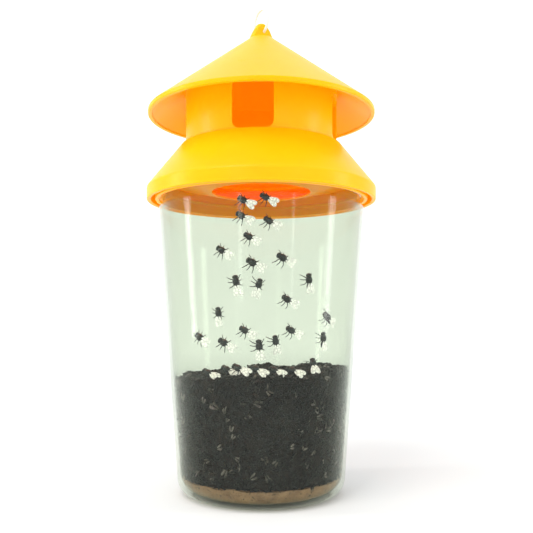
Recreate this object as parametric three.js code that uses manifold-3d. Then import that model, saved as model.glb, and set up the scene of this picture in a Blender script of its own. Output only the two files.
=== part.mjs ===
// A hanging wasp trap: a clear tapered cup, a screwed-on skirt lid, a funnel clamped between the two,
// and a conical roof whose collar plugs into the lid and has three windows for the insects.
// Units are millimetres, +Z is up, the front faces -Y and the origin is the centre of the standing face.
import * as THREE from "three";
import { mergeVertices } from "three/addons/utils/BufferGeometryUtils.js";
import Module from "manifold-3d";

const wasm = await Module();
wasm.setup();

// ---- Driving dimensions -------------------------------------------------------------------------

// The cup, measured on its outside.
const CUP_BASE_RADIUS = 36.3; // where the drafted wall would meet the standing plane
const CUP_DRAFT = 0.068; // radius gained for each mm of height
const CUP_BODY_HEIGHT = 124.3; // where the drafted wall ends and the shoulder begins
const CUP_WALL = 1.2;
const CUP_FLOOR = 2.0;
const CUP_FOOT_ROUND = 10;
const CUP_STANDING_WIDTH = 5; // of the flat ring that it stands on, round the recess
const CUP_RECESS_DEPTH = 0.8;
const SHOULDER_HEIGHT = 1.9;
const NECK_STEP = 1.55; // how far the neck stands in from the wall below it
const NECK_HEIGHT = 10.2;

// The single-start right-hand thread between the neck and the lid.
const THREAD_LEAD = 4;
const THREAD_DEPTH = 1.1;
const THREAD_ROOT_WIDTH = 1.7;
const THREAD_TIP_WIDTH = 0.8;
const THREAD_CLEARANCE = 0.5; // from a ridge's tip to the wall that it faces
const THREAD_RUNIN = 0.05; // turns over which a ridge rises from the wall
const NECK_THREAD_TURNS = 1.25;
const LID_THREAD_TURNS = 1;
const NECK_THREAD_START = 2.4; // above the foot of the neck

// The lid: a flared skirt that ends in an upright band.
const LID_WALL = 1.8;
const BAND_GAP = 1.8; // between the band and the threaded ring inside it
const BAND_HEIGHT = 5.3;
const BAND_DROP = 0.2; // how far the band hangs below the threaded ring
const SKIRT_ANGLE = 38.8; // of the skirt's flare, in degrees from the vertical
const SLEEVE_WALL = 1.5; // of the bore that takes the roof's collar
const THREAD_RING_WALL = 1.6;
const DECK_THICKNESS = 1.6;
const DECK_LEDGE_WIDTH = 3.6; // of the deck, inside the collar
const CLAMP_LAND_WIDTH = 1.9;

// The funnel that lets insects in and not out.
const FUNNEL_WALL = 1.2;
const FUNNEL_HOLE_RADIUS = 21.7;
const FUNNEL_DROP = 5;

// The roof with its collar.
const ROOF_RADIUS = 49.5;
const ROOF_WALL = 1.8;
const ROOF_PITCH = 36.9; // in degrees from the horizontal
const ROOF_EAVES_RISE = 13.3; // from the lid's top edge up to the bottom of the roof's rim
const ROOF_LIP = 1.74;
const COLLAR_RADIUS = 33.4;
const COLLAR_WALL = 1.8;
const WINDOW_HEADINGS = [-6, 78, 270]; // degrees from the front towards +X
const WINDOW_WIDTH = 16.8;
const WINDOW_SILL = 0.5; // above the lid's top edge
const WINDOW_HEAD = 4; // of collar left between a window and the roof
const WINDOW_CORNER = 3.2;

// The finial with its eye, and the ring through it.
const FINIAL_RADIUS = 5.2;
const FINIAL_HEIGHT = 6.8;
const TAB_THICKNESS = 4.4;
const EYE_WIDTH = 2.8;
const EYE_HEIGHT = 4.2;
const EYE_RISE = 2.4; // of the eye's centre above the foot of the finial
const EYE_HEADING = 33; // of the eye's axis, in degrees from the front towards +X
const RING_RADIUS = 5.4; // of the wire's centre line
const RING_WIRE_RADIUS = 0.6;

// What lies in the cup.
const BAIT_TOP = 9;
const HEAP_TOP = 54;
const FILLING_INSET = 0.8; // from the wall of the cup

// Clearances.
const FIT = 0.3; // between pieces that slide or turn in each other
const SEAT = 0.2; // between pieces that rest on each other
const WELD = 0.4; // how deep joined shapes of one piece run into each other

// Facets.
const ROUND_SEGMENTS = 60;
const ARC_STEPS = 6;

// ---- Levels and radii that follow from them -----------------------------------------------------

const degrees = THREE.MathUtils.degToRad;

const neckFoot = CUP_BODY_HEIGHT + SHOULDER_HEIGHT;
const cupRim = neckFoot + NECK_HEIGHT;
const neckRadius = cupWallRadius(CUP_BODY_HEIGHT) - NECK_STEP;
const neckBore = neckRadius - CUP_WALL;

const flangeBottom = cupRim + SEAT;
const flangeTop = flangeBottom + FUNNEL_WALL;
const deckBottom = flangeTop + SEAT;
const deckTop = deckBottom + DECK_THICKNESS;

const threadRingBore = neckRadius + THREAD_DEPTH + THREAD_CLEARANCE;
const threadRingRadius = threadRingBore + THREAD_RING_WALL;
const bandBore = threadRingRadius + BAND_GAP;
const lidRadius = bandBore + LID_WALL;

const boreRadius = COLLAR_RADIUS + FIT;
const sleeveRadius = boreRadius + SLEEVE_WALL;
const collarBore = COLLAR_RADIUS - COLLAR_WALL;
const collarBottom = deckTop + SEAT;

// The inside of the skirt passes just outside the funnel's flange, and the skirt ends at the sleeve.
const skirtSlope = Math.tan(degrees(SKIRT_ANGLE));
const skirtWallAcross = LID_WALL / Math.cos(degrees(SKIRT_ANGLE));
const creaseHeight = deckBottom - (lidRadius - skirtWallAcross - neckRadius - FIT) / skirtSlope;
const lidTop = creaseHeight + (lidRadius - sleeveRadius) / skirtSlope;
const bandBottom = creaseHeight - BAND_HEIGHT;
const threadRingBottom = bandBottom + BAND_DROP;

const roofSlope = Math.tan(degrees(ROOF_PITCH));
const roofWallUp = ROOF_WALL / Math.cos(degrees(ROOF_PITCH));
const roofEdge = lidTop + ROOF_EAVES_RISE;
const finialFoot = roofEdge + ROOF_LIP + (ROOF_RADIUS - FINIAL_RADIUS) * roofSlope;
const eyeHeight = finialFoot + EYE_RISE;

// The cup's outer radius at a height, above its rounded foot.
function cupWallRadius(z) {
  return CUP_BASE_RADIUS + CUP_DRAFT * z;
}

// The cup's inner radius at a height, in its rounded foot as well as above it.
function cupBoreRadius(z) {
  const straight = cupWallRadius(Math.max(z, CUP_FOOT_ROUND)) - CUP_WALL;
  if (z >= CUP_FOOT_ROUND) return straight;
  const foot = footCentre();
  const drop = (CUP_FOOT_ROUND - z) / (CUP_FOOT_ROUND - CUP_FLOOR);
  return foot + (straight - foot) * Math.sqrt(Math.max(0, 1 - drop * drop));
}

// The radius at which the flat of the base ends and the rounded foot begins.
function footCentre() {
  return cupWallRadius(CUP_FOOT_ROUND) - CUP_FOOT_ROUND;
}

// The inside of the lid's skirt: its radius at a height, and its height at a radius.
function skirtInsideRadius(z) {
  return lidRadius - skirtWallAcross - (z - creaseHeight) * skirtSlope;
}

function skirtInsideHeight(r) {
  return creaseHeight + (lidRadius - skirtWallAcross - r) / skirtSlope;
}

// The top of the roof's cone at a radius.
function roofHeight(r) {
  return finialFoot - (r - FINIAL_RADIUS) * roofSlope;
}

// ---- Shape helpers ------------------------------------------------------------------------------

// A solid of revolution about Z from [radius, height] points; angle 0 is the front.
function revolve(points) {
  let area = 0;
  points.forEach(([r, z], i) => {
    const [nextR, nextZ] = points[(i + 1) % points.length];
    area += r * nextZ - nextR * z;
  });
  const ordered = area > 0 ? points : [...points].reverse();
  const onAxis = ordered.filter(([r]) => r === 0).length > 0;
  const outline = onAxis ? fromAxis(ordered) : [...ordered, ordered[0]];
  const profile = outline.map(([r, z]) => new THREE.Vector2(r, z));
  return new THREE.LatheGeometry(profile, ROUND_SEGMENTS).rotateX(Math.PI / 2);
}

// The same closed outline, started at the point on the axis that follows another one there.
function fromAxis(points) {
  const count = points.length;
  const start = points.findIndex(([r], i) => r === 0 && points[(i + count - 1) % count][0] === 0);
  return [...points.slice(start), ...points.slice(0, start)];
}

// A block with rounded corners that runs out along a heading, from the front towards +X.
function roundedBlock(width, bottom, top, corner, from, to, heading) {
  const half = width / 2;
  const shape = new THREE.Shape();
  shape.absarc(half - corner, top - corner, corner, 0, Math.PI / 2, false);
  shape.absarc(corner - half, top - corner, corner, Math.PI / 2, Math.PI, false);
  shape.absarc(corner - half, bottom + corner, corner, Math.PI, 1.5 * Math.PI, false);
  shape.absarc(half - corner, bottom + corner, corner, 1.5 * Math.PI, 2 * Math.PI, false);
  const options = { depth: to - from, bevelEnabled: false, curveSegments: ARC_STEPS };
  const block = new THREE.ExtrudeGeometry(shape, options).translate(0, 0, from);
  return block.rotateX(Math.PI / 2).rotateZ(degrees(heading));
}

// A helical ridge that rises with the angle; depth is positive outwards and negative inwards.
// Its corners lie half a facet beside those of the wall that it stands on.
function threadRidge(radius, depth, startHeight, startTurn, turns) {
  const rise = Math.sign(depth);
  const count = Math.round(turns * ROUND_SEGMENTS);
  const positions = [];
  for (let i = 0; i <= count; i += 1) {
    const turn = (i / count) * turns;
    const angle = 2 * Math.PI * (startTurn + turn + 0.5 / ROUND_SEGMENTS);
    const z = startHeight + THREAD_LEAD * turn;
    const ramp = Math.min(1, turn / THREAD_RUNIN, (turns - turn) / THREAD_RUNIN);
    const root = radius - rise * WELD;
    const tip = radius + depth * ramp - rise * 0.1 * (1 - ramp);
    const section = [
      [root, -THREAD_ROOT_WIDTH / 2],
      [tip, -THREAD_TIP_WIDTH / 2],
      [tip, THREAD_TIP_WIDTH / 2],
      [root, THREAD_ROOT_WIDTH / 2],
    ];
    for (const [r, up] of section) positions.push(r * Math.sin(angle), -r * Math.cos(angle), z + up);
  }
  const faces = [];
  const quad = (a, b, c, d) => faces.push(...(rise > 0 ? [a, c, b, a, d, c] : [a, b, c, a, c, d]));
  quad(0, 3, 2, 1);
  for (let i = 0; i < count; i += 1) {
    for (let k = 0; k < 4; k += 1) {
      const here = 4 * i + k;
      const next = 4 * i + ((k + 1) % 4);
      quad(here, next, next + 4, here + 4);
    }
  }
  quad(4 * count, 4 * count + 1, 4 * count + 2, 4 * count + 3);
  const geometry = new THREE.BufferGeometry();
  geometry.setAttribute("position", new THREE.Float32BufferAttribute(positions, 3));
  return geometry.setIndex(faces);
}

function toSolid(geometry) {
  const bare = new THREE.BufferGeometry();
  bare.setAttribute("position", geometry.getAttribute("position"));
  bare.setIndex(geometry.index);
  const merged = mergeVertices(bare, 1e-4);
  return new wasm.Manifold(
    new wasm.Mesh({
      numProp: 3,
      vertProperties: new Float32Array(merged.getAttribute("position").array),
      triVerts: new Uint32Array(merged.index.array),
    }),
  );
}

function toGeometry(solid) {
  const mesh = solid.getMesh();
  const geometry = new THREE.BufferGeometry();
  geometry.setAttribute("position", new THREE.BufferAttribute(mesh.vertProperties, 3));
  geometry.setIndex(new THREE.BufferAttribute(mesh.triVerts, 1));
  return geometry;
}

// The first shape with the others joined to it.
function join(first, ...others) {
  const solid = others.reduce((whole, part) => whole.add(toSolid(part)), toSolid(first));
  return toGeometry(solid);
}

// The first shape with the others cut away.
function cut(first, ...others) {
  const solid = others.reduce((whole, part) => whole.subtract(toSolid(part)), toSolid(first));
  return toGeometry(solid);
}

// ---- The pieces ---------------------------------------------------------------------------------

function catchCup() {
  const bodyTop = cupWallRadius(CUP_BODY_HEIGHT);
  const centre = footCentre();
  const footRadius = cupWallRadius(CUP_FOOT_ROUND);
  const outer = [
    [0, CUP_RECESS_DEPTH],
    [centre - CUP_STANDING_WIDTH - CUP_RECESS_DEPTH, CUP_RECESS_DEPTH],
    [centre - CUP_STANDING_WIDTH, 0],
  ];
  for (let i = 0; i <= ARC_STEPS; i += 1) {
    const turn = (i / ARC_STEPS) * (Math.PI / 2);
    const across = (footRadius - centre) * Math.sin(turn);
    outer.push([centre + across, CUP_FOOT_ROUND * (1 - Math.cos(turn))]);
  }
  outer.push([bodyTop, CUP_BODY_HEIGHT]);
  outer.push([bodyTop - 0.3 * NECK_STEP, CUP_BODY_HEIGHT + 0.7 * SHOULDER_HEIGHT]);
  outer.push([neckRadius, neckFoot], [neckRadius, cupRim]);
  const inner = [
    [neckBore, cupRim],
    [neckBore, neckFoot],
    [bodyTop - CUP_WALL, CUP_BODY_HEIGHT],
  ];
  for (let i = 0; i < ARC_STEPS; i += 1) {
    const z = CUP_FOOT_ROUND - (CUP_FOOT_ROUND - CUP_FLOOR) * Math.sin((i / ARC_STEPS) * (Math.PI / 2));
    inner.push([cupBoreRadius(z), z]);
  }
  inner.push([centre, CUP_FLOOR], [0, CUP_FLOOR]);
  const thread = threadRidge(neckRadius, THREAD_DEPTH, neckFoot + NECK_THREAD_START, 0, NECK_THREAD_TURNS);
  return join(revolve([...outer, ...inner]), thread);
}

// The lid's thread runs half a pitch beside the neck's, so the two slide past each other as the lid turns.
function skirtLid() {
  const landRadius = neckRadius - CLAMP_LAND_WIDTH;
  const deckHoleRadius = collarBore - DECK_LEDGE_WIDTH;
  const shell = revolve([
    [lidRadius, bandBottom],
    [lidRadius, creaseHeight],
    [sleeveRadius, lidTop],
    [boreRadius, lidTop],
    [boreRadius, skirtInsideHeight(boreRadius)],
    [bandBore, skirtInsideHeight(bandBore)],
    [bandBore, bandBottom],
  ]);
  const bore = revolve([
    [sleeveRadius, deckBottom],
    [sleeveRadius, skirtInsideHeight(sleeveRadius) + WELD],
    [boreRadius, skirtInsideHeight(sleeveRadius) + WELD],
    [boreRadius, deckTop],
    [deckHoleRadius, deckTop],
    [deckHoleRadius, deckBottom],
  ]);
  const land = revolve([
    [landRadius, deckBottom],
    [skirtInsideRadius(deckBottom) + WELD, deckBottom],
    [landRadius, skirtInsideHeight(landRadius) + WELD],
  ]);
  const ring = revolve([
    [threadRingBore, threadRingBottom],
    [threadRingRadius, threadRingBottom],
    [threadRingRadius, skirtInsideHeight(threadRingRadius) + WELD],
    [threadRingBore, skirtInsideHeight(threadRingBore) + WELD],
  ]);
  const beside = THREAD_LEAD / 2;
  const threadStart = threadRingBottom + THREAD_ROOT_WIDTH;
  const startTurn = (threadStart - neckFoot - NECK_THREAD_START - beside) / THREAD_LEAD;
  const thread = threadRidge(threadRingBore, -THREAD_DEPTH, threadStart, startTurn, LID_THREAD_TURNS);
  return join(shell, bore, land, ring, thread);
}

function entryFunnel() {
  const spigotRadius = neckBore - FIT;
  const holeBottom = flangeBottom - FUNNEL_DROP;
  return revolve([
    [neckRadius, flangeBottom],
    [neckRadius, flangeTop],
    [spigotRadius, flangeTop],
    [FUNNEL_HOLE_RADIUS, holeBottom + FUNNEL_WALL],
    [FUNNEL_HOLE_RADIUS, holeBottom],
    [spigotRadius, flangeBottom],
  ]);
}

function roofCap() {
  const lipBore = ROOF_RADIUS - ROOF_WALL;
  const top = finialFoot + FINIAL_HEIGHT;
  const shell = revolve([
    [0, top],
    [0.3 * FINIAL_RADIUS, top - 0.04 * FINIAL_HEIGHT],
    [0.45 * FINIAL_RADIUS, top - 0.15 * FINIAL_HEIGHT],
    [0.73 * FINIAL_RADIUS, top - 0.47 * FINIAL_HEIGHT],
    [0.97 * FINIAL_RADIUS, top - 0.85 * FINIAL_HEIGHT],
    [FINIAL_RADIUS, finialFoot],
    [ROOF_RADIUS, roofHeight(ROOF_RADIUS)],
    [ROOF_RADIUS, roofEdge],
    [lipBore, roofEdge],
    [lipBore, roofHeight(lipBore) - roofWallUp],
    [FINIAL_RADIUS, finialFoot - roofWallUp],
    [0, finialFoot - roofWallUp],
  ]);
  const collar = revolve([
    [COLLAR_RADIUS, collarBottom],
    [COLLAR_RADIUS, roofHeight(COLLAR_RADIUS) - 0.5 * roofWallUp],
    [collarBore, roofHeight(collarBore) - 0.5 * roofWallUp],
    [collarBore, collarBottom],
  ]);
  const sill = lidTop + WINDOW_SILL;
  const head = roofHeight(COLLAR_RADIUS) - roofWallUp - WINDOW_HEAD;
  const windows = WINDOW_HEADINGS.map((heading) =>
    roundedBlock(WINDOW_WIDTH, sill, head, WINDOW_CORNER, 0.5 * collarBore, 1.5 * COLLAR_RADIUS, heading),
  );
  return cut(join(shell, cut(collar, ...windows)), ...finialCuts());
}

// The two flats that leave the finial's tab, and the eye through it.
function finialCuts() {
  const turn = degrees(EYE_HEADING);
  const reach = 2 * FINIAL_RADIUS;
  const flats = [-1, 1].map((side) => {
    const block = new THREE.BoxGeometry(2 * reach, reach, 2 * FINIAL_HEIGHT);
    block.translate(0, side * (reach + TAB_THICKNESS) * 0.5, finialFoot + FINIAL_HEIGHT + 0.1);
    return block.rotateZ(turn);
  });
  const eye = new THREE.CylinderGeometry(EYE_WIDTH / 2, EYE_WIDTH / 2, 2 * reach, 20);
  eye.scale(1, 1, EYE_HEIGHT / EYE_WIDTH).translate(0, 0, eyeHeight).rotateZ(turn);
  return [...flats, eye];
}

// The ring stands upright, with its wire through the eye.
function hangRing() {
  const ring = new THREE.TorusGeometry(RING_RADIUS, RING_WIRE_RADIUS, 10, 36);
  ring.rotateY(Math.PI / 2).rotateZ(degrees(EYE_HEADING));
  return ring.translate(0, 0, eyeHeight + RING_RADIUS);
}

// A plug of what lies in the cup, from one height to another, kept off its wall.
function filling(bottom, top) {
  const steps = 4;
  const points = [[0, bottom]];
  for (let i = 0; i <= steps; i += 1) {
    const z = bottom + ((top - bottom) * i) / steps;
    points.push([cupBoreRadius(z) - FILLING_INSET, z]);
  }
  const rim = cupBoreRadius(top) - FILLING_INSET;
  for (const share of [0.8, 0.55, 0.3]) points.push([rim * share, top]);
  points.push([0, top]);
  return revolve(points);
}

// The catch is heaped unevenly: higher towards +X, with low swells that die out at the middle.
function catchHeap() {
  const heap = filling(BAIT_TOP + FIT, HEAP_TOP);
  const position = heap.getAttribute("position");
  const rim = cupBoreRadius(HEAP_TOP) - FILLING_INSET;
  for (let i = 0; i < position.count; i += 1) {
    if (position.getZ(i) < HEAP_TOP - 0.01) continue;
    const across = position.getX(i) / rim;
    const along = position.getY(i) / rim;
    const radius = Math.hypot(across, along);
    const swell = radius * radius * Math.sin(5 * Math.atan2(along, across) + 0.6);
    position.setZ(i, HEAP_TOP + 2.6 * across + 0.9 * swell + 1.2 * (1 - radius * radius));
  }
  return heap;
}

// ---- The assembly -------------------------------------------------------------------------------

const yellow = { color: 0xfdc21f, roughness: 0.34, metalness: 0 };
const clear = { color: 0xe9efe6, roughness: 0.08, metalness: 0, transparent: true, opacity: 0.25 };

const trap = new THREE.Group();

function place(name, geometry, look) {
  const mesh = new THREE.Mesh(geometry, new THREE.MeshStandardMaterial(look));
  mesh.name = name;
  trap.add(mesh);
}

place("catch_cup", catchCup(), clear);
place("bait_layer", filling(CUP_FLOOR + FIT, BAIT_TOP), { color: 0x7a6450, roughness: 0.9 });
place("catch_heap", catchHeap(), { color: 0x1c1716, roughness: 0.85 });
place("entry_funnel", entryFunnel(), { ...yellow, color: 0xf5a51c });
place("skirt_lid", skirtLid(), yellow);
place("roof_cap", roofCap(), yellow);
place("hang_ring", hangRing(), { color: 0xe4e4e0, roughness: 0.4, metalness: 0 });

export default trap;
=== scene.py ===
"""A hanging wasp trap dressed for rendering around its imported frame.

From the bottom up: the clear cup with its bait and its catch, the funnel, the flared lid, the roof on
its windowed collar, and the ring that it hangs from. Sizes are in millimetres until a mesh is made.
"""

import math
import random

import bmesh
import bpy
from mathutils import Matrix, Vector, noise


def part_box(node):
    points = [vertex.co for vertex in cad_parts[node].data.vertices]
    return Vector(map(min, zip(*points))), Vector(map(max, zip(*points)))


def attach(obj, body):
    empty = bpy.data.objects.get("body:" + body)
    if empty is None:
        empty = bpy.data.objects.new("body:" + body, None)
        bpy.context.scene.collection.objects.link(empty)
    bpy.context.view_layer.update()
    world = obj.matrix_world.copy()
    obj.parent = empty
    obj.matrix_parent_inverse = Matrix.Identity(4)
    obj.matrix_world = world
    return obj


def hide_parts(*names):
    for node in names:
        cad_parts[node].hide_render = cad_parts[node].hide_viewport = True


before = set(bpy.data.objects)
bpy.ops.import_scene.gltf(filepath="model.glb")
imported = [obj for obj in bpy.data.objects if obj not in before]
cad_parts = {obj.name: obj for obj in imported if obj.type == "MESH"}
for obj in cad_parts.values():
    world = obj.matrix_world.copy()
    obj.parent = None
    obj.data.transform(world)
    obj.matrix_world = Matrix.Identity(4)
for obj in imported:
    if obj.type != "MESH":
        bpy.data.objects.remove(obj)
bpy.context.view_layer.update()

# ---- Camera, floor and light --------------------------------------------------------------------
# The camera stands level at the height of the cup's middle, close enough to look up under the lid.
# Tall soft panels stand at both sides, because a clear cup shows little besides what it mirrors.

MM = 0.001


def node_box(node):
    """A CAD node's lowest and highest corners, in millimetres."""
    low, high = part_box(node)
    return low / MM, high / MM


eye_height = 76.1
eye_distance = 302.4
lens_per_width = 1.2827  # focal length over the width of the frame
frame_width = 36.0

view = bpy.data.cameras.new("view")
view.sensor_width = frame_width
view.lens = lens_per_width * frame_width
view.shift_x = 0.0098
view.shift_y = 0.0983
view.clip_start = 0.01
viewer = bpy.data.objects.new("view", view)
viewer.location = (0, -eye_distance * MM, eye_height * MM)
viewer.rotation_euler = (math.radians(90), 0, 0)
bpy.context.collection.objects.link(viewer)
bpy.context.scene.camera = viewer
bpy.context.scene.view_settings.view_transform = "Standard"


def soft_panel(name, place, size, power, warmth=(1, 1, 1)):
    """A rectangular light that faces the middle of the trap; place is in metres."""
    panel = bpy.data.lights.new(name, "AREA")
    panel.shape = "RECTANGLE"
    panel.size, panel.size_y = size
    panel.energy = power
    panel.color = warmth
    lamp = bpy.data.objects.new(name, panel)
    lamp.location = place
    aim = Vector((0, 0, 0.12)) - Vector(place)
    lamp.rotation_euler = aim.to_track_quat("-Z", "Y").to_euler()
    bpy.context.collection.objects.link(lamp)


soft_panel("key_panel", (-0.35, -0.45, 0.95), (0.45, 0.45), 4.1, (1, 0.98, 0.94))
soft_panel("left_strip", (-0.6, -0.05, 0.2), (0.07, 0.5), 1.3)
soft_panel("right_strip", (0.62, -0.1, 0.2), (0.09, 0.5), 1.2)
soft_panel("front_strip", (-0.3, -0.72, 0.22), (0.06, 0.5), 0.35)
soft_panel("side_strip", (0.42, -0.62, 0.22), (0.03, 0.5), 0.2)

surroundings = bpy.data.worlds.new("surroundings")
surroundings.use_nodes = True
surroundings.node_tree.nodes["Background"].inputs["Color"].default_value = (0.95, 0.97, 1, 1)
surroundings.node_tree.nodes["Background"].inputs["Strength"].default_value = 0.9
bpy.context.scene.world = surroundings


class Signal:
    """A shader socket in a sum: each operator adds its Math node."""

    def __init__(self, finish, socket):
        self.finish = finish
        self.socket = socket

    def _with(self, operation, first, second):
        return self.finish.add("Math", {"operation": operation}, {0: first, 1: second})

    def __add__(self, other):
        return self._with("ADD", self, other)

    __radd__ = __add__

    def __rsub__(self, other):
        return self._with("SUBTRACT", other, self)

    def __mul__(self, other):
        return self._with("MULTIPLY", self, other)

    __rmul__ = __mul__

    def __pow__(self, other):
        return self._with("POWER", self, other)


class Finish:
    """A material in the making: add() puts in a node and hands back one of its outputs."""

    def __init__(self, name):
        self.material = bpy.data.materials.new(name)
        self.material.use_nodes = True
        self.tree = self.material.node_tree
        self.tree.nodes.clear()

    def add(self, kind, settings=None, inputs=None, output=0):
        node = self.tree.nodes.new("ShaderNode" + kind)
        for name, value in (settings or {}).items():
            if name == "stops":
                self._set_stops(node.color_ramp, value)
            else:
                setattr(node, name, value)
        for name, value in (inputs or {}).items():
            if isinstance(value, Signal):
                self.tree.links.new(value.socket, node.inputs[name])
            else:
                node.inputs[name].default_value = value
        return Signal(self, node.outputs[output])

    @staticmethod
    def _set_stops(ramp, stops):
        while len(ramp.elements) < len(stops):
            ramp.elements.new(0.5)
        for element, (place, colour) in zip(ramp.elements, stops):
            element.position = place
            element.color = (*colour, 1)

    def place(self, scale=(1, 1, 1)):
        """The point on the piece, in metres times scale."""
        point = self.add("TexCoord", output="Object")
        return self.add("Mapping", None, {"Vector": point, "Scale": scale})

    def noise(self, scale, detail=3.0, roughness=0.5, stretch=(1, 1, 1)):
        inputs = {"Vector": self.place(stretch), "Scale": scale, "Detail": detail, "Roughness": roughness}
        return self.add("TexNoise", None, inputs, "Fac")

    def ramp(self, value, stops):
        return self.add("ValToRGB", {"stops": stops}, {"Fac": value}, "Color")

    def band(self, value, low, high):
        """0 below low, 1 above high."""
        inputs = {"Value": value, "From Min": low, "From Max": high}
        return self.add("MapRange", None, inputs, "Result")

    def blend(self, share, first, second):
        """The first colour where share is 0, the second where it is 1."""
        colours = {0: share, 6: first, 7: second}
        return self.add("Mix", {"data_type": "RGBA"}, colours, 2)

    def bump(self, height, strength, distance):
        inputs = {"Height": height, "Strength": strength, "Distance": distance}
        return self.add("Bump", None, inputs, "Normal")

    def done(self, surface):
        out = self.tree.nodes.new("ShaderNodeOutputMaterial")
        self.tree.links.new(surface.socket, out.inputs["Surface"])
        return self.material


def rgb(red, green, blue):
    """A screen colour, 0 to 255, as the linear one that a shader takes."""

    def linear(level):
        share = level / 255
        return share / 12.92 if share <= 0.04045 else ((share + 0.055) / 1.055) ** 2.4

    return (linear(red), linear(green), linear(blue), 1)


def make_floor():
    """A floor that curves up into a backdrop far behind the trap, in metres."""
    front, bend_start, bend, top, half_width = -3.0, 1.2, 0.9, 3.2, 3.0
    steps = 16
    profile = [(front, 0.0), (bend_start, 0.0)]
    for k in range(1, steps + 1):
        angle = math.pi / 2 * k / steps
        profile.append((bend_start + bend * math.sin(angle), bend - bend * math.cos(angle)))
    profile.append((bend_start + bend, top))
    corners = [(side, y, z) for y, z in profile for side in (-half_width, half_width)]
    faces = [(2 * k, 2 * k + 1, 2 * k + 3, 2 * k + 2) for k in range(len(profile) - 1)]
    floor_mesh = bpy.data.meshes.new("floor")
    floor_mesh.from_pydata(corners, [], faces)
    floor_mesh.shade_smooth()
    floor = bpy.data.objects.new("floor", floor_mesh)
    bpy.context.collection.objects.link(floor)
    finish = Finish("pale_floor")
    tone = finish.blend(finish.noise(6.0), rgb(240, 240, 238), rgb(244, 244, 242))
    # The backdrop glows a little, so that it comes out as pale as the floor.
    away = finish.add("SeparateXYZ", None, {"Vector": finish.place()}, "Y")
    glow = finish.blend(finish.band(away, 0.3, 1.4), rgb(0, 0, 0), rgb(255, 255, 255))
    look = {"Base Color": tone, "Roughness": 0.8, "Emission Color": glow, "Emission Strength": 0.35}
    floor_mesh.materials.append(finish.done(finish.add("BsdfPrincipled", None, look)))


make_floor()

# ---- Catch cup ----------------------------------------------------------------------------------
# The cup is blown in clear plastic, slightly drafted, with a round foot, a pushed-up base, a soft
# shoulder and a neck with a single-start thread. Its wall is thin enough for faint upright flutes.

AROUND = 180  # facets round a turned piece
TURN = 2 * math.pi


def rounded(corners, closed):
    """An outline's [radius, height] points, each corner (radius, height, round) made an arc."""
    points = []
    count = len(corners)
    for i, (r, z, round_by) in enumerate(corners):
        here = Vector((r, z))
        if not round_by or (not closed and i in (0, count - 1)):
            points.append(here)
            continue
        before = Vector(corners[i - 1][:2]) - here
        after = Vector(corners[(i + 1) % count][:2]) - here
        half_angle = before.angle(after) / 2
        reach = min(round_by / math.tan(half_angle), 0.45 * before.length, 0.45 * after.length)
        radius = reach * math.tan(half_angle)
        first, last = before.normalized(), after.normalized()
        centre = here + (first + last).normalized() * radius / math.sin(half_angle)
        start = here + first * reach - centre
        sweep = math.pi - 2 * half_angle
        side = 1 if first.x * last.y - first.y * last.x < 0 else -1
        steps = max(2, math.ceil(sweep / math.radians(18)))
        points.append(here + first * min(1.25 * reach, 0.48 * before.length))
        for k in range(steps + 1):
            angle = side * sweep * k / steps
            turned_start = Matrix.Rotation(angle, 2) @ start
            points.append(centre + turned_start)
        points.append(here + last * min(1.25 * reach, 0.48 * after.length))
    return points


def divided(points, longest):
    """The same open outline with its long stretches cut into shorter ones."""
    fine = [points[0]]
    for here, there in zip(points, points[1:]):
        parts = max(1, math.ceil((there - here).length / longest))
        fine.extend(here.lerp(there, k / parts) for k in range(1, parts + 1))
    return fine


def ring_of(bm, r, z, around, shape):
    """One circle of corners, or a single corner on the axis; shape moves a point (r, z, angle)."""
    if r < 1e-6:
        return [bm.verts.new((0, 0, z * MM))]
    ring = []
    for k in range(around):
        angle = TURN * k / around
        out, up = shape(r, z, angle) if shape else (r, z)
        ring.append(bm.verts.new((out * math.sin(angle) * MM, -out * math.cos(angle) * MM, up * MM)))
    return ring


def bridge(bm, lower, upper):
    """Faces between two rings, either of which may be a single corner."""
    count = max(len(lower), len(upper))
    for k in range(count):
        after = (k + 1) % count
        corners = [lower[k % len(lower)], lower[after % len(lower)]]
        corners += [upper[after % len(upper)], upper[k % len(upper)]]
        unique = list(dict.fromkeys(corners))
        if len(unique) > 2:
            bm.faces.new(unique)


def turned(name, outline, closed, around=AROUND, shape=None):
    """A solid of revolution in a bmesh, its faces pointing out."""
    bm = bmesh.new()
    rings = [ring_of(bm, r, z, around, shape) for r, z in outline]
    pairs = list(zip(rings, rings[1:]))
    if closed:
        pairs.append((rings[-1], rings[0]))
    for lower, upper in pairs:
        bridge(bm, lower, upper)
    bmesh.ops.recalc_face_normals(bm, faces=bm.faces)
    return finished_mesh(name, bm)


def finished_mesh(name, bm):
    """The bmesh as a smooth-shaded object, creased where two faces meet sharply."""
    for face in bm.faces:
        face.smooth = True
    for edge in bm.edges:
        if len(edge.link_faces) == 2 and edge.calc_face_angle() > math.radians(40):
            edge.smooth = False
    mesh = bpy.data.meshes.new(name)
    bm.to_mesh(mesh)
    bm.free()
    piece = bpy.data.objects.new(name, mesh)
    bpy.context.collection.objects.link(piece)
    return piece


def on_body(piece, body, slot, finishes, *nodes):
    """Gives a piece its finishes and its body, and hides the CAD nodes it stands for; slot is not used."""
    for material in finishes:
        piece.data.materials.append(material)
    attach(piece, body)
    if nodes:
        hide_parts(*nodes)


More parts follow.
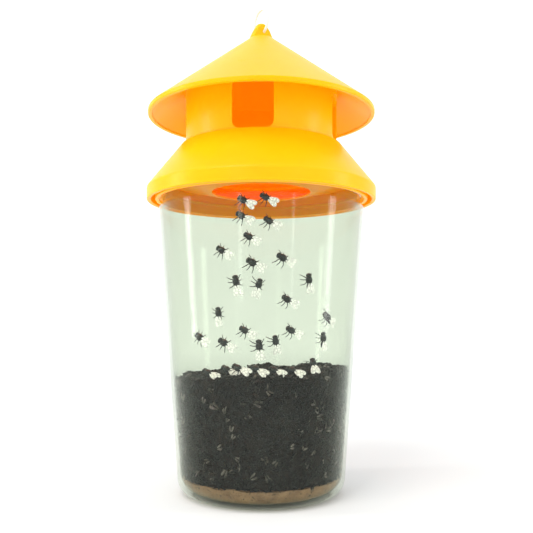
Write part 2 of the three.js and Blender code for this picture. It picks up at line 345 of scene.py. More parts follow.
cup_high = node_box("catch_cup")[1]
cup_rim = cup_high.z
cup_body_radius = cup_high.x
cup_draft = 0.068
cup_wall = 1.2
cup_floor = 1.5
foot_round = 10.0
neck_rise = 10.2
shoulder_rise = 1.9
neck_step = 1.55
neck_foot = cup_rim - neck_rise
body_top = neck_foot - shoulder_rise
neck_radius = cup_body_radius - neck_step
neck_bore = neck_radius - cup_wall
thread_lead = 4.0
thread_depth = 1.1
neck_thread_start = 2.4


def cup_radius(z):
    """The outside of the cup's drafted wall."""
    return cup_body_radius - cup_draft * (body_top - z)


def thread_height(z, angle, start, start_turn, turns):
    """How far a thread stands off its wall there, as a share of its depth."""
    share = 0.0
    lap = angle / TURN - start_turn
    lap -= math.floor(lap)
    while lap <= turns:
        off = abs(z - start - thread_lead * lap)
        flank = min(1.0, max(0.0, (0.85 - off) / 0.45))
        ends = min(1.0, lap / 0.04, (turns - lap) / 0.04)
        share = max(share, flank * ends)
        lap += 1
    return share


def neck_with_thread(r, z, angle):
    if abs(r - neck_radius) > 0.05 or z < neck_foot or z > cup_rim - 0.5:
        return r, z
    share = thread_height(z, angle, neck_foot + neck_thread_start, 0.0, 1.25)
    return r + thread_depth * share, z


def make_cup():
    foot = cup_radius(foot_round)
    inner_foot = foot - cup_wall
    outside = [
        (0, 0.8, 0),
        (21.4, 0.8, 0.5),
        (22.2, 0, 0.4),
        (cup_radius(0) + 0.02, 0, foot_round * 0.93),
        (cup_body_radius, body_top, 0.9),
        (neck_radius, neck_foot, 0.9),
        (neck_radius, cup_rim, 0.35),
    ]
    inside = [
        (neck_bore, cup_rim, 0.35),
        (neck_bore, neck_foot - 0.2, 0.9),
        (cup_body_radius - cup_wall, body_top - 0.3, 0.9),
        (inner_foot - cup_draft * foot_round, cup_floor, foot_round * 0.8),
        (0, cup_floor, 0),
    ]
    outline = rounded(outside + inside, closed=False)
    # The neck's outside is cut finely, so that the thread can rise from it.
    fine = []
    for here, there in zip(outline, outline[1:]):
        fine.append(here)
        on_neck = abs(here.x - neck_radius) < 0.01 and abs(there.x - neck_radius) < 0.01
        if on_neck and (there - here).length > 2:
            fine.extend(divided([here, there], 0.22)[1:-1])
        elif (there - here).length > 12:
            fine.extend(divided([here, there], 6)[1:-1])
    fine.append(outline[-1])
    return turned("cup", fine, closed=False, around=216, shape=neck_with_thread)


def clear_plastic():
    """Clear where it faces the eye, mirror-like and faintly grey-green where it turns away."""
    finish = Finish("clear_plastic")
    flow = finish.noise(60.0, 2.0, 0.5, (1, 1, 0.06))
    ripple = finish.noise(420.0, 2.0, 0.4, (1, 1, 0.15))
    relief = finish.bump(flow + 0.25 * ripple, 0.12, 0.0006)
    smear = finish.band(finish.noise(90.0, 5.0, 0.6), 0.45, 0.8)
    gloss = {"Base Color": rgb(250, 252, 250), "Metallic": 1.0, "Roughness": 0.05 + 0.1 * smear}
    mirror = finish.add("BsdfPrincipled", None, {**gloss, "Normal": relief})
    milk = {"Base Color": rgb(168, 178, 160), "Roughness": 0.3, "Normal": relief}
    haze = finish.add("BsdfPrincipled", None, milk)
    see_through = finish.add("BsdfTransparent", None, {"Color": (0.885, 0.91, 0.86, 1)})
    edge = finish.add("LayerWeight", None, {"Blend": 0.5, "Normal": relief}, "Facing")
    cloud = 0.003 + 0.01 * smear + 0.34 * edge**4.0
    body = finish.add("MixShader", None, {0: cloud, 1: see_through, 2: haze})
    glance = 0.014 + 0.8 * edge**5.0
    return finish.done(finish.add("MixShader", None, {0: glance, 1: body, 2: mirror}))


on_body(make_cup(), "cup", "clear_cup", [clear_plastic()], "catch_cup")

# ---- Bait ---------------------------------------------------------------------------------------
# A damp tan paste lies on the floor of the cup, uneven on top where insects have sunk into it.

bait_low, bait_high = node_box("bait_layer")


def cup_bore(z):
    """The inside of the cup, in its round foot as well as above it."""
    straight = cup_radius(max(z, foot_round)) - cup_wall
    if z >= foot_round:
        return straight
    flat = cup_radius(foot_round) - foot_round
    drop = (foot_round - z) / (foot_round - cup_floor)
    return flat + (straight - flat) * math.sqrt(max(0, 1 - drop * drop))


def lumps(point, size, seed):
    """Smooth noise from -1 to 1 at a point in millimetres."""
    return noise.noise(Vector(point) / size + Vector((seed, 3.7 * seed, 0)))


def plug_outline(bottom, top, inset, rows):
    """The outline of what fills the cup between two heights."""
    outline = [Vector((0, bottom))]
    outline += [Vector((share * (cup_bore(bottom) - inset), bottom)) for share in (0.35, 0.7, 0.95)]
    for k in range(rows + 1):
        z = bottom + (top - bottom) * k / rows
        outline.append(Vector((cup_bore(z) - inset, z)))
    rim = cup_bore(top) - inset
    outline += [Vector((rim * (1 - k / 16), top)) for k in range(1, 16)]
    outline.append(Vector((0, top)))
    return outline


def make_bait():
    top = bait_high.z

    def settled(r, z, angle):
        if z < top - 0.01:
            return r, z
        point = (r * math.sin(angle), r * math.cos(angle), 0)
        return r, z - 0.6 + 0.9 * lumps(point, 7.0, 2)

    outline = plug_outline(bait_low.z - 0.55, top, 0.3, 8)
    return turned("bait", outline, closed=False, around=120, shape=settled)


def bait_paste():
    finish = Finish("bait_paste")
    mottle = finish.noise(260.0, 6.0, 0.65)
    grains = finish.add("TexVoronoi", None, {"Vector": finish.place(), "Scale": 900.0}, "Distance")
    specks = finish.band(finish.noise(520.0, 4.0, 0.7), 0.56, 0.66)
    tan = finish.ramp(mottle, [(0.3, rgb(122, 88, 64)[:3]), (0.7, rgb(186, 146, 112)[:3])])
    colour = finish.blend(specks, tan, rgb(48, 36, 28))
    relief = finish.bump(mottle + 0.5 * grains, 0.7, 0.0006)
    look = {"Base Color": colour, "Roughness": 0.45 + 0.3 * mottle, "Normal": relief}
    return finish.done(finish.add("BsdfPrincipled", None, look))


on_body(make_bait(), "cup", "bait", [bait_paste()], "bait_layer")

# ---- Catch heap ---------------------------------------------------------------------------------
# Dead insects fill the lower part of the cup. A lumpy dark core carries thousands of small bodies
# laid flat on it by Geometry Nodes, and a few of them still show their pale wings.

heap_low, heap_high = node_box("catch_heap")
heap_level = heap_high.z - 4.0
core_inset = 1.6


def heap_top(x, y):
    """The heap's surface: higher towards +X, with lumps."""
    rim = cup_bore(heap_level)
    swell = lumps((x, y, 0), 16.0, 5) * 2.4 + lumps((x, y, 0), 5.0, 9) * 0.9
    return heap_level + 2.4 * x / rim + swell - 1.6


def make_core():
    bottom, top = heap_low.z - 0.6, heap_level

    def heaped(r, z, angle):
        x, y = r * math.sin(angle), -r * math.cos(angle)
        up = bottom + (z - bottom) * (heap_top(x, y) - bottom) / (top - bottom)
        if z > bottom + 0.01:
            r += 0.35 * lumps((x, y, up), 4.0, 13)
        return r, up

    outline = plug_outline(bottom, top, core_inset, 40)
    return turned("heap_core", outline, closed=False, around=160, shape=heaped)


def dark_crust():
    finish = Finish("dark_crust")
    clumps = finish.noise(330.0, 6.0, 0.7)
    cells = finish.add("TexVoronoi", None, {"Vector": finish.place(), "Scale": 650.0}, "Distance")
    stops = [(0.3, rgb(14, 11, 11)[:3]), (0.6, rgb(34, 27, 26)[:3]), (0.8, rgb(66, 52, 46)[:3])]
    relief = finish.bump(clumps + 0.6 * cells, 0.8, 0.0008)
    look = {"Base Color": finish.ramp(clumps, stops), "Roughness": 0.4 + 0.4 * clumps, "Normal": relief}
    look["Specular IOR Level"] = 0.2
    return finish.done(finish.add("BsdfPrincipled", None, look))


core = make_core()
on_body(core, "cup", "catch", [dark_crust()], "catch_heap")


def ball(bm, centre, size, rings=4, around=6):
    """A closed egg shape of a few faces; size is its three half axes."""
    made = bmesh.ops.create_uvsphere(bm, u_segments=around, v_segments=rings, radius=1)
    for vert in made["verts"]:
        vert.co = Vector(a * b for a, b in zip(vert.co, size)) + Vector(centre)


def leaf(bm, root, tip, width, lift, thick=0.04):
    """A thin closed wing from root to tip, as wide as given and bowed upwards."""
    root, tip = Vector(root), Vector(tip)
    along = tip - root
    side = along.cross(Vector((0, 0, 1))).normalized()
    spread = [0.14, 0.62, 0.95, 1.0, 0.74]
    stations = [0.0, 0.22, 0.5, 0.76, 0.93]
    rows = []
    for share, wide in zip(stations, spread):
        middle = root + along * share + Vector((0, 0, lift * math.sin(math.pi * share)))
        half = side * wide * width / 2
        above = Vector((0, 0, thick / 2))
        corners = (middle - half, middle + above * 2, middle + half, middle - above * 2)
        rows.append([bm.verts.new(c) for c in corners])
    end = bm.verts.new(tip)
    for here, there in zip(rows, rows[1:]):
        bridge(bm, here, there)
    bm.faces.new(rows[0])
    bridge(bm, rows[-1], [end])


def hidden_shape(name, bm):
    """A bmesh as an object that only Geometry Nodes will use."""
    bmesh.ops.recalc_face_normals(bm, faces=bm.faces)
    for face in bm.faces:
        face.smooth = True
    mesh = bpy.data.meshes.new(name)
    bm.to_mesh(mesh)
    bm.free()
    return bpy.data.objects.new(name, mesh)


def small_body():
    """A dead insect of about 5 mm, lying along X with its back up."""
    bm = bmesh.new()
    ball(bm, (-1.7, 0, 0.5), (0.6, 0.65, 0.5), 4, 6)
    ball(bm, (-0.6, 0, 0.6), (0.95, 0.75, 0.65), 4, 6)
    ball(bm, (1.1, 0, 0.45), (1.3, 0.7, 0.5), 4, 6)
    bm.transform(Matrix.Scale(MM, 4))
    return hidden_shape("small_body", bm)


def small_wings():
    bm = bmesh.new()
    leaf(bm, (-0.5, 0.3, 1.1), (2.9, 1.3, 0.75), 1.1, 0.2)
    leaf(bm, (-0.5, -0.3, 1.1), (2.8, -0.9, 0.8), 1.1, 0.2)
    bm.transform(Matrix.Scale(MM, 4))
    return hidden_shape("small_wings", bm)


class Growth:
    """A Geometry Nodes tree with named inputs, run once on a piece to make another."""

    def __init__(self, name):
        self.tree = bpy.data.node_groups.new(name, "GeometryNodeTree")
        self.tree.interface.new_socket("Geometry", in_out="INPUT", socket_type="NodeSocketGeometry")
        self.tree.interface.new_socket("Geometry", in_out="OUTPUT", socket_type="NodeSocketGeometry")
        self.source = self.tree.nodes.new("NodeGroupInput")
        self.values = {}

    def given(self, name, kind, value):
        """A named input of the tree, and the value that it is run with."""
        socket = self.tree.interface.new_socket(name, in_out="INPUT", socket_type="NodeSocket" + kind)
        self.values[socket.identifier] = value
        return self.source.outputs[name]

    def add(self, kind, settings=None, inputs=None, output=0):
        node = self.tree.nodes.new(kind)
        for name, value in (settings or {}).items():
            setattr(node, name, value)
        for name, value in (inputs or {}).items():
            if isinstance(value, bpy.types.NodeSocket):
                self.tree.links.new(value, node.inputs[name])
            else:
                node.inputs[name].default_value = value
        return node.outputs[output]

    def run(self, name, base, result):
        """The tree's result on base, as a plain mesh object."""
        out = self.tree.nodes.new("NodeGroupOutput")
        self.tree.links.new(result, out.inputs[0])
        carrier = bpy.data.objects.new(name + "_carrier", base.data.copy())
        bpy.context.collection.objects.link(carrier)
        modifier = carrier.modifiers.new(name, "NODES")
        modifier.node_group = self.tree
        for identifier, value in self.values.items():
            modifier[identifier] = value
        bpy.context.view_layer.update()
        evaluated = carrier.evaluated_get(bpy.context.evaluated_depsgraph_get())
        mesh = bpy.data.meshes.new_from_object(evaluated)
        mesh.name = name
        carrier.modifiers.clear()
        bpy.data.objects.remove(carrier)
        piece = bpy.data.objects.new(name, mesh)
        bpy.context.collection.objects.link(piece)
        return piece


def chitin():
    """Blue-black shell with a faint sheen, browner on some bodies."""
    finish = Finish("chitin")
    patch = finish.noise(170.0, 4.0, 0.6)
    stops = [(0.35, rgb(11, 12, 16)[:3]), (0.6, rgb(26, 23, 26)[:3]), (0.75, rgb(58, 42, 34)[:3])]
    relief = finish.bump(finish.noise(2600.0, 2.0), 0.4, 0.0002)
    look = {"Base Color": finish.ramp(patch, stops), "Roughness": 0.28 + 0.3 * patch, "Normal": relief}
    look["Specular IOR Level"] = 0.25
    return finish.done(finish.add("BsdfPrincipled", None, look))


def dry_wing():
    """Dull papery wings, dusty and veined."""
    finish = Finish("dry_wing")
    veins = finish.noise(1900.0, 3.0, 0.6, (1, 1, 1))
    dust = finish.noise(240.0, 3.0, 0.6)
    pale = finish.ramp(dust, [(0.4, rgb(44, 36, 34)[:3]), (0.72, rgb(150, 138, 132)[:3])])
    relief = finish.bump(veins, 0.3, 0.0002)
    look = {"Base Color": pale, "Roughness": 0.3 + 0.3 * veins, "Normal": relief}
    return finish.done(finish.add("BsdfPrincipled", None, look))


chitin_finish = chitin()
wing_finish = dry_wing()


def scatter_catch():
    growth = Growth("laid_insects")
    density = growth.given("Bodies per square metre", "Float", 230000.0)
    winged = growth.given("Share with wings", "Float", 0.07)
    smallest = growth.given("Smallest", "Float", 0.62)
    largest = growth.given("Largest", "Float", 1.02)
    seed = growth.given("Seed", "Int", 11)
    spread = growth.add(
        "GeometryNodeDistributePointsOnFaces",
        {"distribute_method": "RANDOM"},
        {"Mesh": growth.source.outputs["Geometry"], "Density": density, "Seed": seed},
    ).node
    lying = growth.add(
        "FunctionNodeRandomValue",
        {"data_type": "FLOAT_VECTOR"},
        {0: (-0.5, -0.4, -math.pi), 1: (0.5, 0.4, math.pi), "Seed": 3},
    )
    heading = growth.add(
        "FunctionNodeRotateRotation",
        {"rotation_space": "LOCAL"},
        {"Rotation": spread.outputs["Rotation"], "Rotate By": lying},
    )
    size = growth.add(
        "FunctionNodeRandomValue",
        {"data_type": "FLOAT"},
        {2: smallest, 3: largest, "Seed": 5},
        1,
    )
    chosen = growth.add(
        "FunctionNodeRandomValue", {"data_type": "BOOLEAN"}, {"Probability": winged, "Seed": 8}, 3
    )
    joined = growth.tree.nodes.new("GeometryNodeJoinGeometry")
    for shape, finish, selection in (
        (small_body(), chitin_finish, True),
        (small_wings(), wing_finish, chosen),
    ):
        model = growth.add("GeometryNodeObjectInfo", None, {"Object": shape}, "Geometry")
        laid = growth.add(
            "GeometryNodeInstanceOnPoints",
            None,
            {
                "Points": spread.outputs["Points"],
                "Instance": model,
                "Selection": selection,
                "Rotation": heading,
                "Scale": size,
            },
        )
        real = growth.add("GeometryNodeRealizeInstances", None, {"Geometry": laid})
        coated = growth.add("GeometryNodeSetMaterial", None, {"Geometry": real, "Material": finish})
        growth.tree.links.new(coated, joined.inputs[0])
    return growth.run("heap_insects", core, joined.outputs[0])


def ride_as_grown(piece, body):
    """For a piece that Geometry Nodes has already given its finishes."""
    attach(piece, body)


ride_as_grown(scatter_catch(), "cup")

# ---- Caught flies -------------------------------------------------------------------------------
# Fresh flies hover just inside the cup's front and sit on the heap: a blue-black body, six legs and
# two white wings in a V. Each is set by its heading and its height, and has its back outwards.

hover_depth = 3.6  # from the cup's wall to a fly's belly
perch_height = 2.2  # from the heap to a sitting fly's belly


def limb(bm, points, thick):
    """A jointed leg: a thin four-sided closed tube through the points."""
    rows = []
    for i, point in enumerate(points):
        here = Vector(point)
        ahead = Vector(points[min(i + 1, len(points) - 1)]) - Vector(points[max(i - 1, 0)])
        side = ahead.cross(Vector((0, 0, 1)))
        side = side.normalized() if side.length > 1e-6 else Vector((1, 0, 0))
        up = side.cross(ahead).normalized()
        half = thick * (0.5 - 0.12 * i)
        corners = (side, up, -side, -up)
        rows.append([bm.verts.new(here + c * half) for c in corners])
    for here, there in zip(rows, rows[1:]):
        bridge(bm, here, there)
    bm.faces.new(rows[0])
    bm.faces.new(rows[-1])


def fly_parts():
    """A fly 8.4 long along X, head at -X and belly at z = 0: its dark parts and its wings."""
    dark = bmesh.new()
    ball(dark, (-3.3, 0, 1.25), (0.9, 1.15, 0.9), 8, 12)
    ball(dark, (-3.45, 0.65, 1.4), (0.5, 0.55, 0.6), 8, 10)
    ball(dark, (-3.45, -0.65, 1.4), (0.5, 0.55, 0.6), 8, 10)
    ball(dark, (-1.45, 0, 1.35), (1.75, 1.45, 1.25), 10, 14)
    ball(dark, (1.3, 0, 0.95), (1.7, 1.1, 0.85), 10, 14)
    for side, reach in ((-1, 1.0), (1, 0.45)):
        for hip, knee, foot in ((-2.4, -3.1, -4.1), (-1.6, -1.7, -2.1), (-0.7, 0.1, 0.2)):
            steps = [(hip, 0.8 * side, 0.8), (knee, (0.8 + 1.5 * reach) * side, 1.1)]
            steps.append((foot, (0.8 + 2.8 * reach) * side, 0.15))
            limb(dark, steps, 0.42)
    pale = bmesh.new()
    leaf(pale, (-0.2, 0.45, 1.9), (4.4, 1.25, 1.5), 2.0, 0.3, 0.08)
    leaf(pale, (-0.2, -0.45, 1.9), (4.2, -1.15, 1.6), 2.0, 0.3, 0.08)
    return dark, pale


def fly_shell():
    finish = Finish("fly_shell")
    tone = finish.noise(900.0, 3.0, 0.6)
    stops = [(0.35, rgb(8, 10, 14)[:3]), (0.62, rgb(20, 27, 36)[:3]), (0.8, rgb(52, 66, 80)[:3])]
    relief = finish.bump(finish.noise(5200.0, 2.0), 0.35, 0.0001)
    look = {
        "Base Color": finish.ramp(tone, stops),
        "Roughness": 0.22 + 0.2 * tone,
        "Normal": relief,
        "Coat Weight": 0.4,
    }
    return finish.done(finish.add("BsdfPrincipled", None, look))


def fly_wing():
    finish = Finish("fly_wing")
    veins = finish.add("TexVoronoi", {"feature": "DISTANCE_TO_EDGE"}, {"Vector": finish.place(), "Scale": 900.0})
    line = 1 - finish.band(veins, 0.0, 0.16)
    milk = finish.blend(finish.noise(700.0), rgb(232, 230, 228), rgb(255, 254, 252))
    colour = finish.blend(0.45 * line, milk, rgb(96, 90, 86))
    relief = finish.bump(line, 0.3, 0.0001)
    look = {"Base Color": colour, "Roughness": 0.3 + 0.15 * line, "Normal": relief}
    # The wings glow with their own colour: painted light that keeps them brighter than the backdrop seen through
    # the cup.
    look.update({"Emission Color": colour, "Emission Strength": 0.5})
    solid = finish.add("BsdfPrincipled", None, look)
    air = finish.add("BsdfTransparent", None, {"Color": (1, 1, 1, 1)})
    return finish.done(finish.add("MixShader", None, {0: 0.94 - 0.06 * line, 1: air, 2: solid}))


# Heading from the front towards +X in degrees, height, and how far the head is turned from straight
# up towards -X, for flies in the air; then heading, radius and turn for flies on the heap.
HOVERING = [
    (-8, 121, 62), (4, 122, 62), (-9, 115, 60), (6, 113, 60), (-5, 107, 60), (-21, 102, 58),
    (-3, 97, 60), (14, 99, 62), (-14, 89, 12), (-2, 88, -16), (29, 90, 8), (17, 83, 60),
    (-26, 77, 6), (-8, 71, 60), (20, 71, 62), (46, 76, 56), (-39, 68, 62), (-21, 66, 60),
    (-1, 64, 6), (9, 66, 10), (42, 67, 6),
]  # fmt: skip
ON_HEAP = [
    (-40, 32, 62), (-25, 30, 60), (-14, 33, 64), (-2, 32, 60), (11, 33, 62), (26, 31, 64),
    (44, 31, 8),
]  # fmt: skip


def wall_place(heading, height, turn):
    """Where a fly hovers just inside the cup: its back to the wall and its belly to the axis."""
    angle = math.radians(heading)
    out = Vector((math.sin(angle), -math.cos(angle), 0))
    up = Vector((-cup_draft * out.x, -cup_draft * out.y, -1)).normalized() * -1
    across = up.cross(-out).normalized()
    lean = math.radians(turn)
    head = up * math.cos(lean) + across * math.sin(lean)
    back = out
    side = back.cross(-head).normalized()
    centre = out * (cup_bore(height) - hover_depth) + Vector((0, 0, height))
    return Matrix.Translation(centre) @ Matrix((-head, side, back)).transposed().to_4x4()


def heap_place(heading, radius, turn):
    """Where a fly sits on the heap, its back up and tilted towards the front."""
    angle = math.radians(heading)
    x, y = radius * math.sin(angle), -radius * math.cos(angle)
    back = Vector((0, -1.1, 1)).normalized()
    lean = math.radians(turn)
    head = Vector((-math.sin(lean), math.cos(lean), 0.4))
    head = (head - back * head.dot(back)).normalized()
    side = back.cross(-head).normalized()
    centre = Vector((x, y, heap_top(x, y) + perch_height))
    return Matrix.Translation(centre) @ Matrix((-head, side, back)).transposed().to_4x4()


def make_flies():
    dice = random.Random(4)
    places = [wall_place(*row) for row in HOVERING] + [heap_place(*row) for row in ON_HEAP]
    parts = fly_parts()
    shapes = [bmesh.new(), bmesh.new()]
    for place in places:
        scale = Matrix.Scale(dice.uniform(0.9, 1.04), 4)
        for part, whole in zip(parts, shapes):
            copy = part.copy()
            copy.transform(Matrix.Scale(MM, 4) @ place @ scale)
            mesh = bpy.data.meshes.new("one_fly")
            copy.to_mesh(mesh)
            copy.free()
            whole.from_mesh(mesh)
            bpy.data.meshes.remove(mesh)
    names, finishes = ("fly_bodies", "fly_wings"), (fly_shell(), fly_wing())
    for name, whole, finish in zip(names, shapes, finishes):
        bmesh.ops.recalc_face_normals(whole, faces=whole.faces)
        on_body(finished_mesh(name, whole), "cup", "catch", [finish])
    for part in parts:
        part.free()


make_flies()

# ---- Entry funnel -------------------------------------------------------------------------------
# A shallow moulded dish, clamped on the cup's rim by its flange. Insects crawl down through the hole
# and seldom find it again. Its lips are rounded. It is the lid's yellow plastic, painted a deeper orange as
# painted shade under the lid.

funnel_low, funnel_high = node_box("entry_funnel")
funnel_wall = 1.2
funnel_hole = 21.7
spigot_radius = neck_bore - 0.3


def yellow_plastic(name, deep, glow=0.27):
    """Glossy moulded polypropylene with a painted orange glow: an even emission all over, standing in for light
    that comes through it or is trapped inside the trap.
    """
    finish = Finish(name)
    cloud = finish.noise(28.0, 3.0, 0.5)
    flow = finish.noise(75.0, 4.0, 0.55, (1, 1, 0.35))
    skin = finish.noise(3800.0, 2.0, 0.5)
    scuff = finish.band(finish.noise(160.0, 6.0, 0.7), 0.6, 0.78)
    fresh, worn = deep
    colour = finish.blend(0.7 * cloud + 0.25 * scuff, fresh, worn)
    relief = finish.bump(0.7 * flow + 0.12 * skin, 0.16, 0.0008)
    look = {
        "Base Color": colour,
        "Roughness": 0.27 + 0.1 * flow + 0.16 * scuff,
        "Normal": relief,
        "Subsurface Weight": 0.5,
        "Subsurface Radius": (1.0, 0.36, 0.03),
        "Subsurface Scale": 0.003,
        "Specular IOR Level": 0.16,
        # The emission is painted light, an orange glow in place of light shining through the plastic and
        # bouncing inside the trap.
        "Emission Color": rgb(255, 132, 0),
        "Emission Strength": glow,
    }
    return finish.done(finish.add("BsdfPrincipled", None, look))


# Every yellow piece carries this painted orange glow; the funnel's glow is weaker.
lid_yellow = yellow_plastic("lid_yellow", (rgb(253, 180, 2), rgb(252, 187, 12)))
# The funnel's colours are a darker orange than the lid's: painted shade, because it sits under the lid.
funnel_yellow = yellow_plastic("funnel_yellow", (rgb(250, 160, 0), rgb(248, 168, 4)), 0.2)


def make_funnel():
    bottom = funnel_high.z - funnel_wall
    corners = [
        (neck_radius, bottom, 0.3),
        (neck_radius, funnel_high.z, 0.4),
        (spigot_radius, funnel_high.z, 1.4),
        (funnel_hole, funnel_low.z + funnel_wall, 0.5),
        (funnel_hole, funnel_low.z, 0.5),
        (spigot_radius, bottom, 0.5),
    ]
    return turned("funnel", rounded(corners, closed=True), closed=True)


on_body(make_funnel(), "funnel", "yellow_shell", [funnel_yellow], "entry_funnel")

# ---- Skirt lid ----------------------------------------------------------------------------------
# One yellow moulding: the flared skirt with its upright band, the threaded ring that grips the neck,
# and a bore with a deck, which the roof's collar is pushed into.

lid_low, lid_high = node_box("skirt_lid")
lid_radius = lid_high.x
lid_wall = 1.8
lid_top = lid_high.z
band_bottom = lid_low.z
crease = band_bottom + 5.3
skirt_angle = math.radians(38.8)
skirt_across = lid_wall / math.cos(skirt_angle)
thread_ring_bore = neck_radius + thread_depth + 0.5
thread_ring_radius = thread_ring_bore + 1.6
thread_ring_bottom = band_bottom + 0.2
deck_bottom = funnel_high.z + 0.2
deck_top = deck_bottom + 1.6
deck_hole = 28.0
collar_radius = 33.4
bore_radius = collar_radius + 0.3
collar_bore = collar_radius - 1.8


def skirt_inside(r):
    """The height of the skirt's inside at a radius."""
    return crease + (lid_radius - skirt_across - r) / math.tan(skirt_angle)


def ring_with_thread(r, z, angle):
    if abs(r - thread_ring_bore) > 0.05 or z < thread_ring_bottom + 0.3:
        return r, z
    start = thread_ring_bottom + 1.7
    beside = thread_lead / 2
    start_turn = (start - neck_foot - neck_thread_start - beside) / thread_lead
    return r - thread_depth * thread_height(z, angle, start, start_turn, 1.0), z


def make_lid():
    sleeve = lid_radius - (lid_top - crease) * math.tan(skirt_angle)
    land = neck_radius - 1.9
    band_bore = lid_radius - lid_wall
    corners = [
        (lid_radius, band_bottom, 0.5),
        (lid_radius, crease, 1.6),
        (sleeve, lid_top, 0.45),
        (bore_radius, lid_top, 0.4),
        (bore_radius, deck_top, 0.3),
        (deck_hole, deck_top, 0.5),
        (deck_hole, deck_bottom, 0.5),
        (sleeve, deck_bottom, 0.3),
        (sleeve, skirt_inside(sleeve), 0.2),
        (land, skirt_inside(land), 0.2),
        (land, deck_bottom, 0.3),
        (lid_radius - (deck_bottom - crease) * math.tan(skirt_angle) - skirt_across, deck_bottom, 0.2),
        (thread_ring_bore, skirt_inside(thread_ring_bore), 0.2),
        (thread_ring_bore, thread_ring_bottom, 0.4),
        (thread_ring_radius, thread_ring_bottom, 0.4),
        (thread_ring_radius, skirt_inside(thread_ring_radius), 0.3),
        (band_bore, skirt_inside(band_bore), 0.5),
        (band_bore, band_bottom, 0.5),
    ]
    outline = rounded(corners, closed=True)
    fine = []
    for here, there in zip(outline, outline[1:] + outline[:1]):
        fine.append(here)
        on_ring = abs(here.x - thread_ring_bore) < 0.02 and abs(there.x - thread_ring_bore) < 0.02
        if (there - here).length > (0.5 if on_ring else 5.0):
            fine.extend(divided([here, there], 0.25 if on_ring else 3.0)[1:-1])
    return turned("lid", fine, closed=True, around=216, shape=ring_with_thread)


on_body(make_lid(), "lid", "yellow_shell", [lid_yellow], "skirt_lid")

# ---- Roof ---------------------------------------------------------------------------------------
# The cone, its lip, the finial and the collar are one yellow moulding. Three windows let the insects
# in through the collar, and the finial is cut to a flat tab with an eye through it.

roof_low, roof_high = node_box("roof_cap")
roof_radius = roof_high.x
roof_top = roof_high.z
roof_wall = 1.8
roof_pitch = math.radians(36.9)
finial_radius = 5.2
finial_foot = roof_top - 6.8
roof_edge = lid_top + 13.3
eye_heading = math.radians(33)
eye_up = finial_foot + 2.4
tab_half = 2.2


def roof_surface(r):
    return finial_foot - (r - finial_radius) * math.tan(roof_pitch)


def make_cone():
    lip_bore = roof_radius - roof_wall
    across = roof_wall / math.cos(roof_pitch)
    corners = [
        (0, roof_top, 0),
        (1.7, roof_top - 0.25, 0.8),
        (2.5, roof_top - 1.1, 0.6),
        (3.8, roof_top - 3.2, 1.2),
        (5.05, roof_top - 5.8, 1.0),
        (finial_radius + 0.2, roof_surface(finial_radius + 0.2), 1.2),
        (roof_radius, roof_surface(roof_radius), 0.6),
        (roof_radius, roof_edge, 0.5),
        (lip_bore, roof_edge, 0.5),
        (lip_bore, roof_surface(lip_bore) - across, 0.5),
        (finial_radius, finial_foot - across, 1.0),
        (0, finial_foot - across, 0),
    ]
    outline = divided(rounded(corners, closed=False), 4.0)
    return turned("roof", outline, closed=False, around=216)


def cutter(name, bm):
    mesh = bpy.data.meshes.new(name)
    bmesh.ops.recalc_face_normals(bm, faces=bm.faces)
    bm.to_mesh(mesh)
    bm.free()
    tool = bpy.data.objects.new(name, mesh)
    bpy.context.collection.objects.link(tool)
    return tool


def worked_in(piece):
    """The piece as a plain mesh, with what its modifiers make of it."""
    evaluated = piece.evaluated_get(bpy.context.evaluated_depsgraph_get())
    mesh = bpy.data.meshes.new_from_object(evaluated)
    piece.modifiers.clear()
    old = piece.data
    piece.data = mesh
    mesh.name = piece.name
    bpy.data.meshes.remove(old)
    return piece


def carved(piece, tool):
    """The piece with the tool cut out of it; the tool is thrown away."""
    modifier = piece.modifiers.new("carve", "BOOLEAN")
    modifier.operation = "DIFFERENCE"
    modifier.solver = "EXACT"
    modifier.object = tool
    worked_in(piece)
    bpy.data.objects.remove(tool)
    return piece


def bevelled(piece, width):
    """The piece with its sharp edges bevelled."""
    modifier = piece.modifiers.new("edge_round", "BEVEL")
    modifier.width = width * MM
    modifier.segments = 3
    modifier.limit_method = "ANGLE"
    modifier.angle_limit = math.radians(40)
    modifier.harden_normals = False
    worked_in(piece).data.shade_smooth()
    return piece


def tab_cutters():
    """The two flats beside the finial's tab, and the eye through it."""
    turn = Matrix.Scale(MM, 4) @ Matrix.Rotation(eye_heading, 4, "Z")
    bm = bmesh.new()
    for side in (-1, 1):
        place = Matrix.Translation((0, side * (tab_half + 5), finial_foot + 5.1))
        bmesh.ops.create_cube(bm, size=1, matrix=turn @ place @ Matrix.Diagonal((20, 10, 10, 1)))
    upright = Matrix.Diagonal((1, 1, 1.5, 1)) @ Matrix.Rotation(math.pi / 2, 4, "X")
    eye = {"segments": 40, "radius1": 1.4, "radius2": 1.4, "depth": 20}
    eye["matrix"] = turn @ Matrix.Translation((0, 0, eye_up)) @ upright
    bmesh.ops.create_cone(bm, cap_ends=True, **eye)
    return cutter("tab_cutter", bm)


window_headings = [-6, 78, 270]
window_width = 16.8
window_sill = lid_top + 0.5
window_head = roof_surface(collar_radius) - roof_wall / math.cos(roof_pitch) - 4
window_corner = 3.2


def window_cutters():
    """Blocks with rounded corners, one for each window."""
    bm = bmesh.new()
    half = window_width / 2 - window_corner
    low, high = window_sill + window_corner, window_head - window_corner
    centres = ((half, high, 0), (-half, high, 90), (-half, low, 180), (half, low, 270))
    for heading in window_headings:
        turn = Matrix.Rotation(math.radians(heading), 4, "Z")
        ends = []
        for reach in (24, 42):
            ring = []
            for across, up, start in centres:
                for k in range(9):
                    angle = math.radians(start + 90 * k / 8)
                    x = across + window_corner * math.cos(angle)
                    z = up + window_corner * math.sin(angle)
                    ring.append(bm.verts.new(turn @ Vector((x, -reach, z)) * MM))
            ends.append(ring)
        bridge(bm, *ends)
        bm.faces.new(ends[0])
        bm.faces.new(ends[1])
    return cutter("window_cutter", bm)


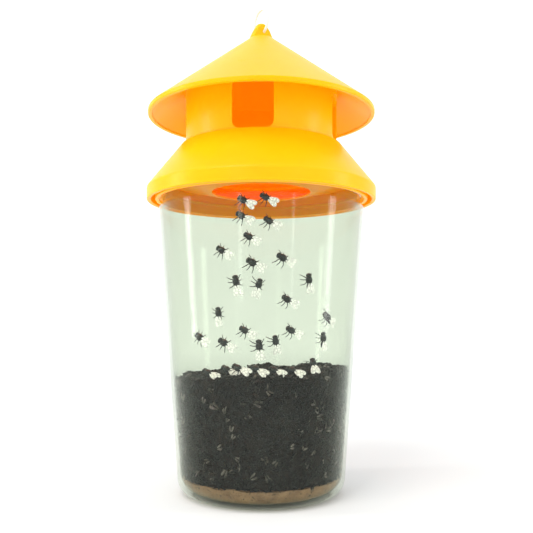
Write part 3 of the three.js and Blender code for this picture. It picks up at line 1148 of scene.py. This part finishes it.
def make_collar():
    """The tube under the roof, its windows cut and their edges rounded."""
    top = roof_surface(collar_radius) - 0.8
    corners = [
        (collar_radius, roof_low.z, 0.4),
        (collar_radius, top, 0),
        (collar_bore, top, 0),
        (collar_bore, roof_low.z, 0.4),
    ]
    tube = turned("roof_collar", rounded(corners, closed=True), closed=True, around=216)
    return bevelled(creased(carved(tube, window_cutters())), 0.3)


def creased(piece):
    """Marks the edges that stay sharp, after a boolean has lost them."""
    sharp = math.radians(30)
    bm = bmesh.new()
    bm.from_mesh(piece.data)
    for face in bm.faces:
        face.smooth = True
    for edge in bm.edges:
        edge.smooth = not (len(edge.link_faces) == 2 and edge.calc_face_angle() > sharp)
    bm.to_mesh(piece.data)
    bm.free()
    return piece


roof_yellow = yellow_plastic("roof_yellow", (rgb(253, 178, 2), rgb(252, 186, 12)))
roof = creased(carved(make_cone(), tab_cutters()))
on_body(roof, "roof", "yellow_shell", [roof_yellow], "roof_cap")
on_body(make_collar(), "roof", "yellow_shell", [roof_yellow])

# ---- Hang ring ----------------------------------------------------------------------------------
# A small moulded ring of milky plastic goes through the eye and stands upright in it.

ring_radius = 5.4
ring_wire = 0.6


def make_ring():
    bm = bmesh.new()
    steps, sides = 72, 16
    turn = Matrix.Rotation(eye_heading, 3, "Z")
    rows = []
    for k in range(steps):
        angle = TURN * k / steps
        way = turn @ Vector((0, math.sin(angle), math.cos(angle)))
        flat = turn @ Vector((1, 0, 0))
        centre = way * ring_radius + Vector((0, 0, eye_up + ring_radius))
        row = []
        for j in range(sides):
            around = TURN * j / sides
            reach = (way * math.cos(around) + flat * math.sin(around)) * ring_wire
            row.append(bm.verts.new((centre + reach) * MM))
        rows.append(row)
    for here, there in zip(rows, rows[1:] + rows[:1]):
        bridge(bm, here, there)
    bmesh.ops.recalc_face_normals(bm, faces=bm.faces)
    return finished_mesh("ring", bm)


def milky_plastic():
    finish = Finish("milky_plastic")
    cloud = finish.noise(300.0, 3.0, 0.5)
    colour = finish.blend(cloud, rgb(226, 226, 220), rgb(244, 244, 240))
    relief = finish.bump(finish.noise(4000.0, 2.0), 0.15, 0.0001)
    look = {
        "Base Color": colour,
        "Roughness": 0.32 + 0.12 * cloud,
        "Normal": relief,
        "Subsurface Weight": 0.4,
        "Subsurface Radius": (1.0, 0.95, 0.9),
        "Subsurface Scale": 0.001,
    }
    return finish.done(finish.add("BsdfPrincipled", None, look))


on_body(make_ring(), "ring", "ring", [milky_plastic()], "hang_ring")
